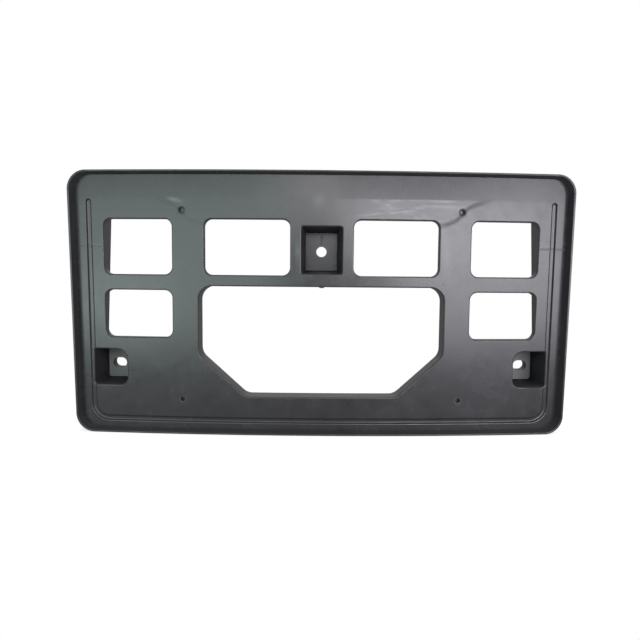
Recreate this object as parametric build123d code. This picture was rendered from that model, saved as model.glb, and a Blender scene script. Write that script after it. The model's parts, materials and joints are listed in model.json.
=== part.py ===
from build123d import *
import math
import os

# Number plate holder, moulded in one piece.
# Millimetres. X runs to the right as seen from the front, Y runs from the front to the back, Z is up.
# The origin is the centre of the four plate screws, on the plane through the mouths of their holes.

# Plate screw holes and the bosses behind them
plate_screw_spacing_x = 177.8
plate_screw_spacing_z = 120.65
plate_screw_hole_diameter = 3.0
plate_screw_hole_depth = 3.0
plate_screw_boss_diameter = 8.0
plate_screw_boss_depth = 9.5

# Panel, bowed about an upright axis so that its middle stands forward
bow_radius = 1400.0
panel_thickness = 3.0
top_above_screws = 84.6
bottom_below_screws = 82.1
width_at_top = 322.0
width_at_bottom = 315.4
corner_radius = 12.0

# Lip around the front
lip_height = 6.0
lip_rim_width = 1.2
lip_outer_draft = 1.0
lip_inner_draft = 10.0
lip_rim_radius = 0.4

# Groove pressed into the face, shaped like a U
groove_inside_rim_at_top = 11.4
groove_inside_rim_at_bottom = 10.35
groove_below_rim = 19.1
groove_above_rim = 8.2
groove_corner_radius = 10.0
groove_width = 3.0
groove_depth = 1.5
groove_floor_radius = 0.8
groove_edge_radius = 0.6

# Windows
window_corner_radius = 5.0
window_rim_wall = 2.0
window_rim_depth = 5.0
upper_window_top = 54.75
upper_window_bottom = 19.6
lower_window_top = 9.6
lower_window_bottom = -20.7
inner_window_near = 20.1
inner_window_far = 74.6
outer_window_near = 95.25
outer_window_to_groove = 9.5

# Centre opening and its return wall
opening_width = 156.8
opening_top = 12.4
opening_bottom = -58.3
opening_flat_width = 97.0
opening_shoulder = -31.5
opening_corner_radius = 9.0
opening_wall = 2.2
opening_wall_depth = 14.0

# Gate mark left on the top edge of the centre opening
gate_mark_width = 3.0
gate_mark_height = 0.6
gate_mark_depth = 2.0

# Rounding of the front edges of windows, opening and pockets
edge_radius = 0.8

# Walls and floors of the three fixing pockets
pocket_wall = 2.4
pocket_floor = 3.0

# Centre pocket, tapering to a floor with one round hole
centre_pocket_width = 25.9
centre_pocket_height = 29.8
centre_pocket_middle = 35.6
centre_pocket_depth = 30.0
centre_pocket_draft = 4.8
centre_pocket_corner_radius = 1.5
centre_hole_diameter = 7.0

# Side pockets, straight, each with an oblong hole in its floor
side_pocket_width = 22.3
side_pocket_to_groove = 0.4
side_pocket_top = -28.8
side_pocket_bottom = -52.0
side_pocket_depth = 30.5
side_pocket_inner_top_radius = 7.0
side_pocket_inner_bottom_radius = 5.0
side_pocket_outer_radius = 1.5
slot_to_outer_wall = 7.4
slot_middle = -42.2
slot_length = 9.4
slot_width = 7.0
sleeve_wall = 2.0
sleeve_height = 4.8

# Wedge ribs behind the outer windows, and the gussets that brace them
rib_wall = 2.6
rib_slope = 8.8
gusset_middle = 37.7
gusset_wall = 1.8

# Tolerance for finding edges by their place
on_surface = 0.001

# Places worked out from the sizes above
bow_axis_y = math.sqrt(bow_radius**2 - (plate_screw_spacing_x / 2) ** 2)
through = max(width_at_top, width_at_bottom)
groove_top = top_above_screws - groove_below_rim
groove_bottom = groove_above_rim - bottom_below_screws


def face_y(x, height=0.0):
    """Y of the panel face at x, or of a surface that stands this height in front of it."""
    return bow_axis_y - math.sqrt((bow_radius + height) ** 2 - x**2)


def bow_arc(height):
    """Arc of the bow seen from above, this height in front of the panel face."""
    half = through / 2 + panel_thickness
    return ThreePointArc((-half, face_y(half, height)), (0, face_y(0, height)), (half, face_y(half, height)))


def bowed_layer(front, back):
    """Slab between two bowed surfaces, given by their heights in front of the panel face."""
    front_arc = bow_arc(front)
    back_arc = bow_arc(back)
    ends = [Line(front_arc @ 1, back_arc @ 1), Line(back_arc @ 0, front_arc @ 0)]
    return extrude(make_face([front_arc, back_arc] + ends), through, both=True)


def behind_face(depth):
    """Slab from inside the panel, behind the groove, to this depth behind its face."""
    return bowed_layer(-(groove_depth + panel_thickness) / 2, -depth)


def prism(outline):
    """An outline in the front view, carried right through from front to back."""
    return extrude(outline, through, both=True)


def in_front_of(outline, y):
    """An outline in the front view, carried forward from the plane at y."""
    return extrude(Pos(0, y, 0) * outline, through)


def polygon(*points):
    """A closed outline in the front view from its corners."""
    return Plane.XZ * make_face(Polyline(*points, close=True))


def rounded(outline, radius):
    """The outline with every corner rounded."""
    return fillet(outline.vertices(), radius)


def rounded_at(outline, x, z, radius):
    """The outline with the corner nearest to x and z rounded."""
    return fillet(outline.vertices().sort_by_distance((x, 0, z))[0], radius)


def both_sides(shape):
    """The shape and its mirror image on the other side of the middle."""
    return [shape, mirror(shape, Plane.YZ)]


def edges_at(body, height):
    """Edges of the body that lie on the bowed surface this height in front of the panel face."""
    found = ShapeList()
    for edge in body.edges():
        reach = [math.hypot(p.X, p.Y - bow_axis_y) for p in (edge @ 0, edge @ 0.5, edge @ 1)]
        if max(abs(r - bow_radius - height) for r in reach) < on_surface:
            found.append(edge)
    return found


def edges_along(body, outline, height):
    """Edges on the surface this height in front of the face that follow the outline in the front view."""
    found = ShapeList()
    for edge in edges_at(body, height):
        middle = edge @ 0.5
        if outline.wire().distance_to(Vertex(middle.X, 0, middle.Z)) < on_surface:
            found.append(edge)
    return found


def rim_x(z):
    """Distance of the holder's outer edge from the upright centre line, at height z."""
    share = (z + bottom_below_screws) / (top_above_screws + bottom_below_screws)
    return (width_at_bottom + share * (width_at_top - width_at_bottom)) / 2


def groove_x(z):
    """Distance of the groove's middle line from the upright centre line, at height z."""
    share = (z - groove_bottom) / (groove_top - groove_bottom)
    inside_rim = groove_inside_rim_at_bottom * (1 - share) + groove_inside_rim_at_top * share
    return rim_x(z) - inside_rim


def window_far_x(z):
    """Outer edge of the outer windows at height z, running along the groove."""
    return groove_x(z) - outer_window_to_groove


def rim_outline():
    """The holder's outline, at the plane of the plate screws."""
    half_top = width_at_top / 2
    half_bottom = width_at_bottom / 2
    outline = polygon(
        (-half_top, top_above_screws),
        (half_top, top_above_screws),
        (half_bottom, -bottom_below_screws),
        (-half_bottom, -bottom_below_screws),
    )
    return rounded(outline, corner_radius)


def tray_hollow():
    """Space inside the lip, in front of the panel, with walls that lean outwards to the front."""
    lean = math.tan(math.radians(lip_inner_draft))
    front = bow_radius + 2 * lip_height
    rim = bow_radius + lip_height
    inner_top = top_above_screws - lip_rim_width
    inner_bottom = lip_rim_width - bottom_below_screws
    section = Polyline(
        (bow_axis_y + bow_radius, inner_top + (bow_radius - rim) * lean),
        (bow_axis_y + front, inner_top + (front - rim) * lean),
        (bow_axis_y + front, inner_bottom - (front - rim) * lean),
        (bow_axis_y + bow_radius, inner_bottom - (bow_radius - rim) * lean),
        close=True,
    )
    ring = revolve(Plane.YZ * make_face(section), Axis((0, bow_axis_y, 0), (0, 0, 1)))
    inner_x = rim_x(0) - lip_rim_width
    slope = (width_at_top - width_at_bottom) / (top_above_screws + bottom_below_screws) / 2
    right_wall = Plane((inner_x, 0, 0), z_dir=(1, lean, -slope))
    left_wall = Plane((-inner_x, 0, 0), z_dir=(-1, lean, -slope))
    hollow = split(split(ring, right_wall, keep=Keep.BOTTOM), left_wall, keep=Keep.BOTTOM)
    corners = hollow.edges().sort_by(SortBy.LENGTH)[:4]
    return fillet(corners, corner_radius - lip_rim_width)


def tray():
    """Bowed panel with the lip standing around its front."""
    outline = rim_outline()
    front = extrude(outline, -face_y(0, lip_height), taper=lip_outer_draft)
    back = extrude(outline, -through, taper=-lip_outer_draft)
    body = ((front + back) & bowed_layer(lip_height, -panel_thickness)) - tray_hollow()
    return fillet(edges_at(body, lip_height), lip_rim_radius)


def groove_outline():
    """Band of the groove in the front view, with round ends."""
    path = FilletPolyline(
        (-groove_x(groove_top), groove_top),
        (-groove_x(groove_bottom), groove_bottom),
        (groove_x(groove_bottom), groove_bottom),
        (groove_x(groove_top), groove_top),
        radius=groove_corner_radius,
    )
    return Plane.XZ * Face(path.offset_2d(groove_width / 2))


def grooved(body):
    """The tray with the groove pressed into its face."""
    outline = groove_outline()
    tool = prism(outline) & bowed_layer(groove_depth, -groove_depth)
    body -= fillet(edges_at(tool, -groove_depth), groove_floor_radius)
    return fillet(edges_along(body, outline, 0), groove_edge_radius)


def inner_window():
    """Window beside the centre pocket."""
    outline = polygon(
        (inner_window_near, upper_window_bottom),
        (inner_window_far, upper_window_bottom),
        (inner_window_far, upper_window_top),
        (inner_window_near, upper_window_top),
    )
    return rounded(outline, window_corner_radius)


def outer_window(bottom, top):
    """Window beside the groove."""
    outline = polygon(
        (outer_window_near, bottom),
        (window_far_x(bottom), bottom),
        (window_far_x(top), top),
        (outer_window_near, top),
    )
    return rounded(outline, window_corner_radius)


def centre_opening():
    """Opening with its two lower corners cut off."""
    half = opening_width / 2
    half_flat = opening_flat_width / 2
    outline = polygon(
        (-half, opening_top),
        (half, opening_top),
        (half, opening_shoulder),
        (half_flat, opening_bottom),
        (-half_flat, opening_bottom),
        (-half, opening_shoulder),
    )
    return rounded(outline, opening_corner_radius)


def rounded_hole(outline):
    """What is cut from the panel to leave a hole of this outline with a rounded front edge."""
    patch = prism(offset(outline, 2 * edge_radius)) & bowed_layer(0, -panel_thickness)
    frame = patch - prism(outline)
    return patch - fillet(edges_along(frame, outline, 0), edge_radius)


def return_wall(outline, wall, depth):
    """Wall around an outline, standing behind the panel."""
    return (prism(offset(outline, wall)) - prism(outline)) & behind_face(depth)


def gate_mark():
    """Stub where the runner was cut off, on the opening's top edge."""
    stub = polygon(
        (-gate_mark_width / 2, opening_top - gate_mark_height),
        (gate_mark_width / 2, opening_top - gate_mark_height),
        (gate_mark_width / 2, opening_top + opening_wall / 2),
        (-gate_mark_width / 2, opening_top + opening_wall / 2),
    )
    return prism(stub) & bowed_layer(-edge_radius, -edge_radius - gate_mark_depth)


def centre_pocket_mouth(margin):
    """Mouth of the centre pocket, made larger all round by the margin."""
    mouth = Rectangle(centre_pocket_width + 2 * margin, centre_pocket_height + 2 * margin)
    mouth = rounded(mouth, centre_pocket_corner_radius + margin)
    return Pos(0, 0, centre_pocket_middle) * (Plane.XZ * mouth)


def centre_taper(margin, depth):
    """Block over the centre pocket's mouth, straight through the panel and tapering behind it."""
    mouth = centre_pocket_mouth(margin)
    panel_back = face_y(0) + panel_thickness
    tapered = extrude(Pos(0, panel_back, 0) * mouth, panel_thickness - depth, taper=centre_pocket_draft)
    return in_front_of(mouth, panel_back) + tapered


def centre_pocket():
    """Hollow of the centre pocket."""
    return centre_taper(0, centre_pocket_depth)


def centre_tower():
    """Walls and floor of the centre pocket."""
    depth = centre_pocket_depth + pocket_floor
    return (centre_taper(pocket_wall, depth) - centre_pocket()) & behind_face(2 * depth)


def centre_hole():
    """Round fixing hole through the centre pocket's floor."""
    return prism(Pos(0, 0, centre_pocket_middle) * (Plane.XZ * Circle(centre_hole_diameter / 2)))


def side_pocket_far_x():
    """Outer wall of the side pockets, just inside the middle of the groove."""
    return groove_x(slot_middle) - side_pocket_to_groove


def side_pocket_mouth():
    """Mouth of the side pocket on the right."""
    far = side_pocket_far_x()
    near = far - side_pocket_width
    outline = polygon(
        (near, side_pocket_bottom),
        (far, side_pocket_bottom),
        (far, side_pocket_top),
        (near, side_pocket_top),
    )
    outline = rounded_at(outline, near, side_pocket_top, side_pocket_inner_top_radius)
    outline = rounded_at(outline, near, side_pocket_bottom, side_pocket_inner_bottom_radius)
    outline = rounded_at(outline, far, side_pocket_top, side_pocket_outer_radius)
    return rounded_at(outline, far, side_pocket_bottom, side_pocket_outer_radius)


def side_floor_y():
    """Front of the side pockets' floors."""
    return face_y(side_pocket_far_x() - side_pocket_width / 2) + side_pocket_depth


def side_pocket():
    """Hollow of the side pocket on the right."""
    return in_front_of(side_pocket_mouth(), side_floor_y())


def side_tower():
    """Walls and floor of the side pocket on the right."""
    outside = in_front_of(offset(side_pocket_mouth(), pocket_wall), side_floor_y() + pocket_floor)
    return (outside - side_pocket()) & behind_face(2 * side_pocket_depth)


def slot_outline():
    """Outline of the oblong hole in the side pocket on the right."""
    outline = Plane.XZ * SlotOverall(slot_length, slot_width)
    return Pos(side_pocket_far_x() - slot_to_outer_wall, 0, slot_middle) * outline


def sleeve():
    """Sleeve around the oblong hole, standing behind the floor of the side pocket on the right."""
    end_y = side_floor_y() + pocket_floor + sleeve_height
    end = Pos(0, end_y, 0) * offset(slot_outline(), sleeve_wall)
    return extrude(end, sleeve_height + pocket_floor / 2)


def rib_back_y(z):
    """Back edge of the wedge ribs at height z."""
    root = face_y(window_far_x(side_pocket_top)) + panel_thickness
    return root + (z - side_pocket_top) * math.tan(math.radians(rib_slope))


def wedge_rib():
    """Rib along the outer windows on the right, deepest at the top of the holder."""
    top = top_above_screws - lip_rim_width
    foot = side_pocket_top
    strip = polygon(
        (window_far_x(foot), foot),
        (window_far_x(foot) + rib_wall, foot),
        (window_far_x(top) + rib_wall, top),
        (window_far_x(top), top),
    )
    side = Polyline((0, foot), (rib_back_y(foot), foot), (rib_back_y(top), top), (0, top), close=True)
    wedge = extrude(Plane.YZ * make_face(side), through, both=True)
    return prism(strip) & wedge & behind_face(through)


def gusset():
    """Triangular brace between the wedge rib on the right and the edge of the panel."""
    near = window_far_x(gusset_middle) + rib_wall / 2
    far = groove_x(gusset_middle) + groove_width
    plan = make_face(
        Polyline(
            (near, 0),
            (near, rib_back_y(gusset_middle - gusset_wall)),
            (far, face_y(far) + panel_thickness),
            (far, 0),
            close=True,
        )
    )
    plate = extrude(Pos(0, 0, gusset_middle) * plan, gusset_wall / 2, both=True)
    return plate & behind_face(through)


def plate_screw_circles(diameter):
    """The four plate screw places, as circles in the front view."""
    places = GridLocations(plate_screw_spacing_x, plate_screw_spacing_z, 2, 2)
    return [Plane.XZ * (place * Circle(diameter / 2)) for place in places]


windows = []
for outline in (
    inner_window(),
    outer_window(upper_window_bottom, upper_window_top),
    outer_window(lower_window_bottom, lower_window_top),
):
    windows += both_sides(outline)
opening = centre_opening()

# Panel with its openings, their front edges rounded
holder = grooved(tray())
for outline in both_sides(side_pocket_mouth()):
    holder -= prism(outline)
    holder = fillet(edges_along(holder, outline, 0), edge_radius)
for outline in windows + [opening, centre_pocket_mouth(0)]:
    holder -= rounded_hole(outline)

# Walls, towers, ribs and bosses behind the panel
behind = [return_wall(outline, window_rim_wall, window_rim_depth) for outline in windows]
behind += [return_wall(opening, opening_wall, opening_wall_depth), gate_mark(), centre_tower()]
for shape in (side_tower(), sleeve(), wedge_rib(), gusset()):
    behind += both_sides(shape)
for circle in plate_screw_circles(plate_screw_boss_diameter):
    behind.append(prism(circle) & behind_face(plate_screw_boss_depth))
holder += behind

# Fixing holes and plate screw holes
holder -= centre_hole()
for outline in both_sides(slot_outline()):
    holder -= prism(outline)
for circle in plate_screw_circles(plate_screw_hole_diameter):
    holder -= in_front_of(circle, plate_screw_hole_depth)

os.makedirs("parts", exist_ok=True)
export_step(holder, "parts/plate_holder.step")
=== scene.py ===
import json
import math

import bpy
from mathutils import Matrix, Vector


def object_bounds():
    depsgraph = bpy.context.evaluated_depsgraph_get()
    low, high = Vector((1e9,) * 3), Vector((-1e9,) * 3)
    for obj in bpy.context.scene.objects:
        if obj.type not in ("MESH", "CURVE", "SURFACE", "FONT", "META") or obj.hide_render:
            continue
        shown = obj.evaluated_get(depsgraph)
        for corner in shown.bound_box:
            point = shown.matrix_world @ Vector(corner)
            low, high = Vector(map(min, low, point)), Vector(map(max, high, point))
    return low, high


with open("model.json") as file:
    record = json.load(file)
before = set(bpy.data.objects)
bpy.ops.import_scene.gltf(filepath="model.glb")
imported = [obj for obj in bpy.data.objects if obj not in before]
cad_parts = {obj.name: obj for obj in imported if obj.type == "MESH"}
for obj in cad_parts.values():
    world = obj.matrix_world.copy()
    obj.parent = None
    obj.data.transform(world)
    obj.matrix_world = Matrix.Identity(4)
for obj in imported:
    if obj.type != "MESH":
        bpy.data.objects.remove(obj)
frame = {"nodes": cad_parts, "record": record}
cad_low, cad_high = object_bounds()

MM = 0.001
white = (1.0, 1.0, 1.0, 1.0)

# Camera, fitted to the four plate screw holes
camera_place = Vector((-4.19, -383.01, 22.24)) * MM
camera_turn = math.radians(0.503)
camera_dip = math.radians(4.609)
camera_roll = math.radians(0.514)
camera_near_limit = 0.01
focal_length_px = 600.0
image_width_px = 640.0
sensor_width_mm = 36.0

# Floor under the standing holder, plain white again some way off, in metres
floor_size = 8.0
floor_color = (0.92, 0.92, 0.92, 1.0)
floor_roughness = 1.0
floor_shine = 0.0
floor_shadow_share = 0.28
floor_clear = 0.07
floor_white = 0.17
floor_stretch = Vector((0.45, 1.0, 0.0))

# Strength of the surrounding as a light, and colours of the lamps
world_strength = 0.3
greenish_light = (0.80, 1.0, 0.945)
violet_light = (0.96, 0.94, 1.0)
warm_light = (1.0, 0.98, 0.93)
white_light = (1.0, 1.0, 1.0)

# Lamps in front, which face straight back: width and height, place of the middle, power and colour
front_lamps = {
    "left_lamp": ((0.465, 0.24), (-0.2875, -0.40, 0.04), 2.17, greenish_light),
    "lower_left_lamp": ((0.24, 0.09), (-0.375, -0.405, -0.035), 0.34, greenish_light),
    "right_lamp": ((0.545, 0.14), (0.3325, -0.60, 0.11), 5.05, violet_light),
    "lower_right_lamp": ((0.40, 0.117), (0.33, -0.40, -0.0215), 1.64, violet_light),
    "lamp_over_camera": ((0.15, 0.10), (-0.005, -0.61, 0.165), 0.56, white_light),
}

# Lamps over and behind the holder, which face its middle, with the same values
far_lamps = {
    "top_lamp": ((1.0, 0.8), (0.0, -0.25, 1.2), 12.0, warm_light),
    "back_lamp": ((1.0, 0.6), (0.0, 1.1, 0.9), 14.0, white_light),
}
holder_middle = (0.0, 0.0, 0.0)

# Plastic: colours, shine, and roughness of the face, the walls and the back
dark_black = (0.0066, 0.0060, 0.0074, 1.0)
pale_black = (0.0105, 0.0098, 0.0115, 1.0)
# Pale grey for the pale smears and flow streaks, and painted light on the side pocket floors standing in
# for the light that reaches them
smear_and_painted_light_gray = (0.100, 0.100, 0.102, 1.0)
plastic_shine = 0.26
face_roughness = 0.26
wall_roughness = 0.75
back_roughness = 0.42
roughness_swing = 0.10
painted_light_floor_roughness = 0.3
dull_roughness = 0.45

# How squarely a surface faces forwards or back where it starts to count as face or back, and fully does
face_starts = 0.75
face_full = 0.97

# Blotches, grain and waviness: sizes, and heights from valley to crest, in millimetres
noise_middle = 0.5
tone_range = 0.4
cloud_size = 30.0
cloud_detail = 4.0
blotch_size = 7.0
grain_size = 0.7
grain_height = 0.0032
back_grain_height = 0.016
waviness_size = 24.0
waviness_detail = 1.0
waviness_height = 0.12

# Depth at which the floors of the side pockets get painted light, a paler grey standing in for the light
# that falls on them through their mouths, and a rougher finish
painted_light_floor_from = 30.0
painted_light_floor_full = 33.0

# Crease across the top band, strongest over the right inner window
crease_above_screws = 7.4
crease_tilt = 0.035
crease_left = (-20.0, 25.0)
crease_left_share = 0.3
crease_right = (60.0, 150.0)
crease_right_share = 0.25

# Sunk spots round the plate screw holes, fainter at the lower ones
sink_ring = 1.9
sink_ring_width = 1.0
sink_radius = 4.2
sink_depth = 0.16
lower_sink_share = 0.4

# Faint line over each outer gusset
gusset_line_z = 37.7
gusset_line_width = 1.2
gusset_line_depth = 0.04
gusset_line_from = 138.0
gusset_line_full = 140.0
gusset_dull = 0.25

# Weld lines where the plastic closed behind the upper plate screw holes
weld_slope = 0.27
weld_step = 4.0
weld_step_width = 4.0
weld_below_screw = 1.2
weld_near = -14.0
weld_far = 15.0
weld_fade = 7.0
weld_width = 2.6
weld_depth = 0.012
weld_dull = 0.42
left_weld_share = 0.35

# Flow streaks over the right inner window
flow_height = 0.07
flow_length = 32.0
flow_thickness = 6.0
flow_swirl = 1.6
flow_near = 24.0
flow_far = 86.0
flow_end = 10.0
flow_drop = 14.0
flow_edge = 1.0
flow_paleness = 0.55
flow_pale_from = -0.08
flow_pale_full = 0.3

# Weld line on the floor of the centre pocket, over its hole
pocket_line_from_y = 20.0
pocket_line_full_y = 24.0
pocket_line_low = 40.0
pocket_line_high = 47.0
pocket_line_width = 1.5
pocket_line_fade = 1.5
pocket_line_dull = 0.4

# Small marks on the face: place across and upright, length, width, angle and height
marks = {
    "scratch over the left hole": (-90.4, 66.4, 5.0, 0.8, 40.0, 0.05),
    "scratch on the top band": (31.5, 74.5, 4.5, 0.6, 38.0, 0.05),
    "speck beside the left window": (-86.0, 22.0, 1.2, 1.0, 0.0, -0.08),
    "speck beside the right window": (77.5, 14.5, 1.2, 1.0, 0.0, -0.08),
}

# Pale smears on the face: place across and upright, length, width, angle and paleness
smears = {
    "over the left hole": (-93.0, 66.6, 14.0, 4.0, -12.0, 0.35),
    "beside the centre pocket": (-15.2, 34.5, 26.0, 5.0, 90.0, 0.16),
    "over the centre pocket": (-2.5, 66.5, 16.0, 12.0, 90.0, 0.14),
    "beside the right inner window": (79.0, 34.0, 44.0, 9.0, 96.0, 0.14),
}


class Graph:
    """Adds nodes to a node tree and joins them, so that a field can be written like a formula."""

    def __init__(self, tree):
        self.tree = tree

    def add(self, kind, inputs, output=0, **settings):
        node = self.tree.nodes.new(kind)
        for name, value in settings.items():
            setattr(node, name, value)
        for key, value in inputs.items():
            self.feed(node.inputs[key], value)
        return node.outputs[output]

    def feed(self, socket, value):
        if isinstance(value, bpy.types.NodeSocket):
            self.tree.links.new(value, socket)
        else:
            socket.default_value = value

    def math(self, operation, first, second=0.0):
        return self.add("ShaderNodeMath", {0: first, 1: second}, operation=operation)

    def plus(self, *fields):
        total = fields[0]
        for field in fields[1:]:
            total = self.math("ADD", total, field)
        return total

    def minus(self, first, second):
        return self.math("SUBTRACT", first, second)

    def times(self, *fields):
        product = fields[0]
        for field in fields[1:]:
            product = self.math("MULTIPLY", product, field)
        return product

    def size(self, field):
        return self.math("ABSOLUTE", field)

    def parts(self, vector):
        """The parts of a vector across, in depth and upright."""
        split = self.tree.nodes.new("ShaderNodeSeparateXYZ")
        self.tree.links.new(vector, split.inputs[0])
        return split.outputs["X"], split.outputs["Y"], split.outputs["Z"]

    def step(self, field, start, end, before=0.0, after=1.0):
        """Smooth step of a field from one value to another."""
        inputs = {"Value": field, "From Min": start, "From Max": end, "To Min": before, "To Max": after}
        return self.add("ShaderNodeMapRange", inputs, interpolation_type="SMOOTHSTEP")

    def bell(self, field, width):
        """One where the field is zero, falling to nothing at this distance from zero."""
        return self.step(self.size(field), 0.0, width, 1.0, 0.0)

    def between(self, field, low, high, softness):
        """One where the field lies between two values, with soft ends."""
        rise = self.step(field, low - softness, low + softness)
        fall = self.step(field, high - softness, high + softness, 1.0, 0.0)
        return self.times(rise, fall)

    def noise(self, place, size, detail=2.0, stretch=(1.0, 1.0, 1.0), swirl=0.0):
        """Noise from about minus one half to one half, with blotches of this size."""
        scale = Vector((1.0 / stretch[0], 1.0 / stretch[1], 1.0 / stretch[2])) / size
        spot = self.add("ShaderNodeVectorMath", {0: place, 1: scale}, operation="MULTIPLY")
        inputs = {"Vector": spot, "Scale": 1.0, "Detail": detail, "Distortion": swirl}
        cloud = self.add("ShaderNodeTexNoise", inputs)
        return self.minus(cloud, noise_middle)

    def blend(self, share, first, second):
        """Colour that turns from the first into the second as the share grows to one."""
        inputs = {"Factor": share, "A": first, "B": second}
        return self.add("ShaderNodeMix", inputs, output="Result", data_type="RGBA")


def plate_screws():
    """Half the spacing of the plate screws, across and upright, in millimetres."""
    screws = next(mount for mount in frame["record"]["mounts"] if mount["name"] == "plate_screws")
    return screws["dims"]["spacing_x_mm"] / 2, screws["dims"]["spacing_y_mm"] / 2


def mark(g, x, z, spot):
    """One small mark or smear, as a soft stroke that lies at an angle."""
    mark_x, mark_z, length, width, angle, strength = spot
    along = Vector((math.cos(math.radians(angle)), math.sin(math.radians(angle))))
    across = g.minus(x, mark_x)
    upright = g.minus(z, mark_z)
    run = g.plus(g.times(across, along.x), g.times(upright, along.y))
    side = g.minus(g.times(upright, along.x), g.times(across, along.y))
    return g.times(g.bell(run, length / 2), g.bell(side, width / 2), strength)


def crease(g, x, z, screw_z):
    """Height of the top band, which leans back a little above the crease."""
    left_part = g.step(x, crease_left[0], crease_left[1], crease_left_share, 1.0)
    right_part = g.step(x, crease_right[0], crease_right[1], 1.0, crease_right_share)
    over = g.math("MAXIMUM", g.minus(z, screw_z + crease_above_screws), 0.0)
    return g.times(over, -crease_tilt, left_part, right_part)


def sunk_spots(g, across, z, screw_z):
    """Height of the sunk spots at the plate screw holes, and the dull rings round the holes."""
    upright = g.minus(g.size(z), screw_z)
    away = g.math("SQRT", g.plus(g.times(across, across), g.times(upright, upright)))
    share = g.step(z, -screw_z, screw_z, lower_sink_share, 1.0)
    sinks = g.times(g.step(away, 0.0, sink_radius, -sink_depth, 0.0), share)
    rings = g.times(g.bell(g.minus(away, sink_ring), sink_ring_width), share)
    return sinks, rings


def gusset_lines(g, from_middle, z):
    """Faint lines that the outer gussets leave on the face."""
    outside = g.step(from_middle, gusset_line_from, gusset_line_full)
    return g.times(g.bell(g.minus(z, gusset_line_z), gusset_line_width), outside)


def weld_lines(g, across, z, screw_z, side_share):
    """Soft lines that run through the upper plate screw holes in a shallow curve."""
    bend = g.math("SQRT", g.plus(g.times(across, across), weld_step_width**2))
    curve = g.times(g.math("DIVIDE", across, bend), weld_step)
    height = g.plus(g.times(across, weld_slope), curve, screw_z - weld_below_screw)
    line = g.bell(g.minus(z, height), weld_width)
    return g.times(line, g.between(across, weld_near, weld_far, weld_fade), side_share)


def flow_streaks(g, place, x, z, screw_z):
    """Wavy streaks under the crease, and the part of the face that they cover."""
    stretch = (flow_length / flow_thickness, 1.0, 1.0)
    streaks = g.noise(place, flow_thickness, stretch=stretch, swirl=flow_swirl)
    top = screw_z + crease_above_screws
    along = g.between(x, flow_near, flow_far, flow_end)
    upright = g.between(z, top - flow_drop, top, flow_edge)
    return streaks, g.times(along, upright)


def pocket_line(g, x, y, z):
    """Weld line on the floor of the centre pocket."""
    in_pocket = g.step(y, pocket_line_from_y, pocket_line_full_y)
    over_hole = g.between(z, pocket_line_low, pocket_line_high, pocket_line_fade)
    return g.times(g.bell(x, pocket_line_width), over_hole, in_pocket)


def moulding_marks(g, place, x, y, z):
    """Height, dullness and paleness of the marks that moulding and handling left on the face."""
    screw_x, screw_z = plate_screws()
    from_middle = g.size(x)
    across = g.minus(from_middle, screw_x)
    side_share = g.step(x, -screw_x, screw_x, left_weld_share, 1.0)
    sinks, rings = sunk_spots(g, across, z, screw_z)
    gussets = gusset_lines(g, from_middle, z)
    welds = weld_lines(g, across, z, screw_z, side_share)
    streaks, streak_part = flow_streaks(g, place, x, z, screw_z)

    lines = g.plus(g.times(gussets, -gusset_line_depth), g.times(welds, -weld_depth))
    flows = g.times(streaks, streak_part, flow_height)
    small_marks = [mark(g, x, z, spot) for spot in marks.values()]
    height = g.plus(crease(g, x, z, screw_z), sinks, lines, flows, *small_marks)

    dull_gussets = g.times(gussets, gusset_dull, side_share)
    dull_pocket = g.times(pocket_line(g, x, y, z), pocket_line_dull)
    dull = g.plus(dull_gussets, g.times(welds, weld_dull), rings, dull_pocket)

    pale_flow = g.times(g.step(streaks, flow_pale_from, flow_pale_full), streak_part, flow_paleness)
    pale = g.plus(pale_flow, *[mark(g, x, z, spot) for spot in smears.values()])
    return height, dull, pale


def plastic_color(g, blotches, smears_and_painted_light):
    """Two blacks in soft blotches, and pale grey over them: pale smears and streaks, and painted light on
    the side pocket floors.
    """
    tones = {"Value": blotches, "From Min": -tone_range, "From Max": tone_range}
    tone = g.add("ShaderNodeMapRange", tones)
    black = g.blend(tone, dark_black, pale_black)
    return g.blend(smears_and_painted_light, black, smear_and_painted_light_gray)


def plastic_roughness(g, face, back, blotches, painted_light_floors, dull):
    """Satin face and back and duller walls, roughened by blotches and dull marks, and rougher on the side
    pocket floors that carry painted light.
    """
    front_finish = g.step(face, 0.0, 1.0, wall_roughness, face_roughness)
    back_finish = g.step(back, 0.0, 1.0, wall_roughness, back_roughness)
    satin = g.math("MINIMUM", front_finish, back_finish)
    swing = g.times(blotches, roughness_swing)
    dulled = g.plus(g.times(painted_light_floors, painted_light_floor_roughness), g.times(dull, face, dull_roughness))
    return g.plus(satin, swing, dulled)


def plastic_height(g, place, face, back, marks_height):
    """Grain all over, coarser on the back, and waviness and moulding marks on the face."""
    grain_depth = g.step(back, 0.0, 1.0, grain_height, back_grain_height)
    grain = g.times(g.noise(place, grain_size), grain_depth)
    waviness = g.times(g.noise(place, waviness_size, waviness_detail), waviness_height)
    return g.plus(grain, g.times(g.plus(waviness, marks_height), face))


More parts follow.
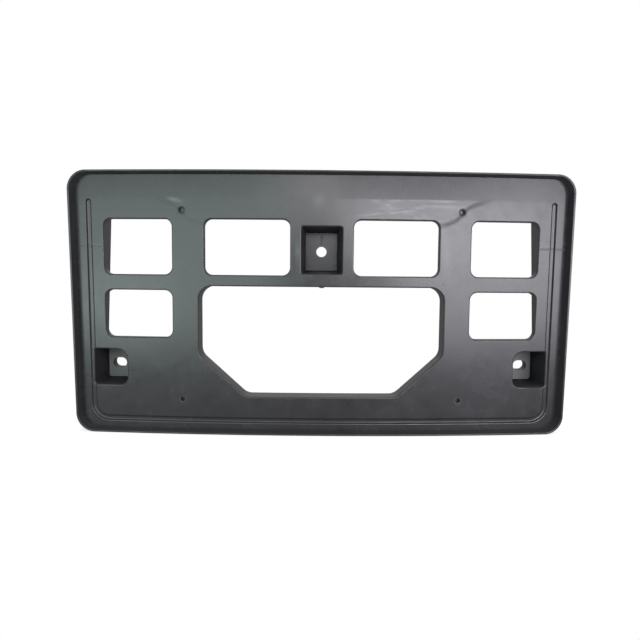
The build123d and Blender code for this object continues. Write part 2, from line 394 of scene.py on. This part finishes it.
def moulded_plastic():
    """Black moulded plastic: a satin face with moulding marks, duller walls and a grained back."""
    material = bpy.data.materials.new("moulded_black_plastic")
    material.use_nodes = True
    tree = material.node_tree
    g = Graph(tree)
    coordinates = tree.nodes.new("ShaderNodeTexCoord")
    to_mm = {0: coordinates.outputs["Object"], "Scale": 1.0 / MM}
    place = g.add("ShaderNodeVectorMath", to_mm, operation="SCALE")
    x, y, z = g.parts(place)
    _, facing_back, _ = g.parts(coordinates.outputs["Normal"])
    face = g.step(g.times(facing_back, -1.0), face_starts, face_full)
    back = g.step(facing_back, face_starts, face_full)

    marks_height, dull, pale = moulding_marks(g, place, x, y, z)
    blotches = g.plus(g.noise(place, cloud_size, cloud_detail), g.noise(place, blotch_size))
    # Painted light: the side pocket floors are turned pale grey to stand in for the light that falls on
    # them, and made rougher
    painted_light_floors = g.times(g.step(y, painted_light_floor_from, painted_light_floor_full), face)
    near_front = g.step(y, 0.0, painted_light_floor_from, 1.0, 0.0)
    # Pale grey over the black: painted light on the side pocket floors, and the pale smears and streaks
    # on the face
    smears_and_painted_light = g.plus(painted_light_floors, g.times(pale, near_front, face))
    height = plastic_height(g, place, face, back, marks_height)
    bump = g.add("ShaderNodeBump", {"Strength": 1.0, "Distance": MM, "Height": height}, output="Normal")

    shader = tree.nodes["Principled BSDF"]
    g.feed(shader.inputs["Base Color"], plastic_color(g, blotches, smears_and_painted_light))
    g.feed(shader.inputs["Roughness"], plastic_roughness(g, face, back, blotches, painted_light_floors, dull))
    g.feed(shader.inputs["Normal"], bump)
    shader.inputs["Specular IOR Level"].default_value = plastic_shine
    return material


def add_camera():
    """Camera at the photograph's place, turned, dipped and rolled as fitted."""
    forward = Vector(
        (
            math.sin(camera_turn) * math.cos(camera_dip),
            math.cos(camera_turn) * math.cos(camera_dip),
            -math.sin(camera_dip),
        )
    )
    level = Vector((math.cos(camera_turn), -math.sin(camera_turn), 0.0))
    upright = level.cross(forward)
    right = level * math.cos(camera_roll) + upright * math.sin(camera_roll)
    up = right.cross(forward)
    data = bpy.data.cameras.new("camera")
    data.sensor_width = sensor_width_mm
    data.lens = focal_length_px / image_width_px * sensor_width_mm
    data.clip_start = camera_near_limit
    camera = bpy.data.objects.new("camera", data)
    bpy.context.scene.collection.objects.link(camera)
    turn = Matrix((right, up, -forward)).transposed()
    camera.matrix_world = Matrix.Translation(camera_place) @ turn.to_4x4()
    bpy.context.scene.camera = camera


def add_lamp(name, target, size, place, power, color):
    """Flat soft lamp that faces a point."""
    data = bpy.data.lights.new(name, "AREA")
    data.shape = "RECTANGLE"
    data.size, data.size_y = size
    data.energy = power
    data.color = color
    lamp = bpy.data.objects.new(name, data)
    lamp.location = place
    lamp.rotation_euler = (Vector(target) - Vector(place)).to_track_quat("-Z", "Y").to_euler()
    bpy.context.scene.collection.objects.link(lamp)


def add_lamps():
    """Lamps in front of the holder, then those over it and behind it."""
    for name, (size, place, power, color) in front_lamps.items():
        across, _, upright = place
        add_lamp(name, (across, 0.0, upright), size, place, power, color)
    for name, (size, place, power, color) in far_lamps.items():
        add_lamp(name, holder_middle, size, place, power, color)


def seen_rays(g):
    """One for rays from the camera, through clear things and off shiny ones, otherwise nothing."""
    path = g.tree.nodes.new("ShaderNodeLightPath")
    seen = g.math("MAXIMUM", path.outputs["Is Camera Ray"], path.outputs["Is Transmission Ray"])
    return g.math("MAXIMUM", seen, path.outputs["Is Glossy Ray"])


def add_world():
    """White surrounding, seen white by the camera and in reflections, and plain as a light."""
    world = bpy.data.worlds.new("surrounding")
    world.use_nodes = True
    bpy.context.scene.world = world
    g = Graph(world.node_tree)
    background = world.node_tree.nodes["Background"]
    background.inputs["Color"].default_value = white
    strengths = {"Value": seen_rays(g), "To Min": world_strength, "To Max": 1.0}
    g.feed(background.inputs["Strength"], g.add("ShaderNodeMapRange", strengths))


def floor_material():
    """Pale floor that keeps the holder's shadow near it and is plain white further off."""
    material = bpy.data.materials.new("pale_floor")
    material.use_nodes = True
    tree = material.node_tree
    g = Graph(tree)
    shader = tree.nodes["Principled BSDF"]
    shader.inputs["Base Color"].default_value = floor_color
    shader.inputs["Roughness"].default_value = floor_roughness
    shader.inputs["Specular IOR Level"].default_value = floor_shine
    coordinates = tree.nodes.new("ShaderNodeTexCoord")
    stretched = {0: coordinates.outputs["Object"], 1: floor_stretch}
    spot = g.add("ShaderNodeVectorMath", stretched, operation="MULTIPLY")
    away = g.add("ShaderNodeVectorMath", {0: spot}, "Value", operation="LENGTH")
    white_part = g.step(away, floor_clear, floor_white, 1.0 - floor_shadow_share, 1.0)
    white_share = g.times(white_part, seen_rays(g))
    plain = g.add("ShaderNodeEmission", {"Color": white, "Strength": 1.0})
    mix = g.add("ShaderNodeMixShader", {0: white_share, 1: shader.outputs[0], 2: plain})
    tree.links.new(mix, tree.nodes["Material Output"].inputs["Surface"])
    return material


def add_floor():
    """Pale floor that the holder stands on."""
    half = floor_size / 2
    height = cad_low.z
    corners = [(-half, -half, height), (half, -half, height), (half, half, height), (-half, half, height)]
    mesh = bpy.data.meshes.new("floor")
    mesh.from_pydata(corners, [], [(0, 1, 2, 3)])
    mesh.materials.append(floor_material())
    floor = bpy.data.objects.new("floor", mesh)
    bpy.context.scene.collection.objects.link(floor)


holder = frame["nodes"]["plate_holder"]
holder.material_slots[0].material = moulded_plastic()

add_camera()
add_world()
add_floor()
add_lamps()
bpy.context.scene.view_settings.view_transform = "Standard"
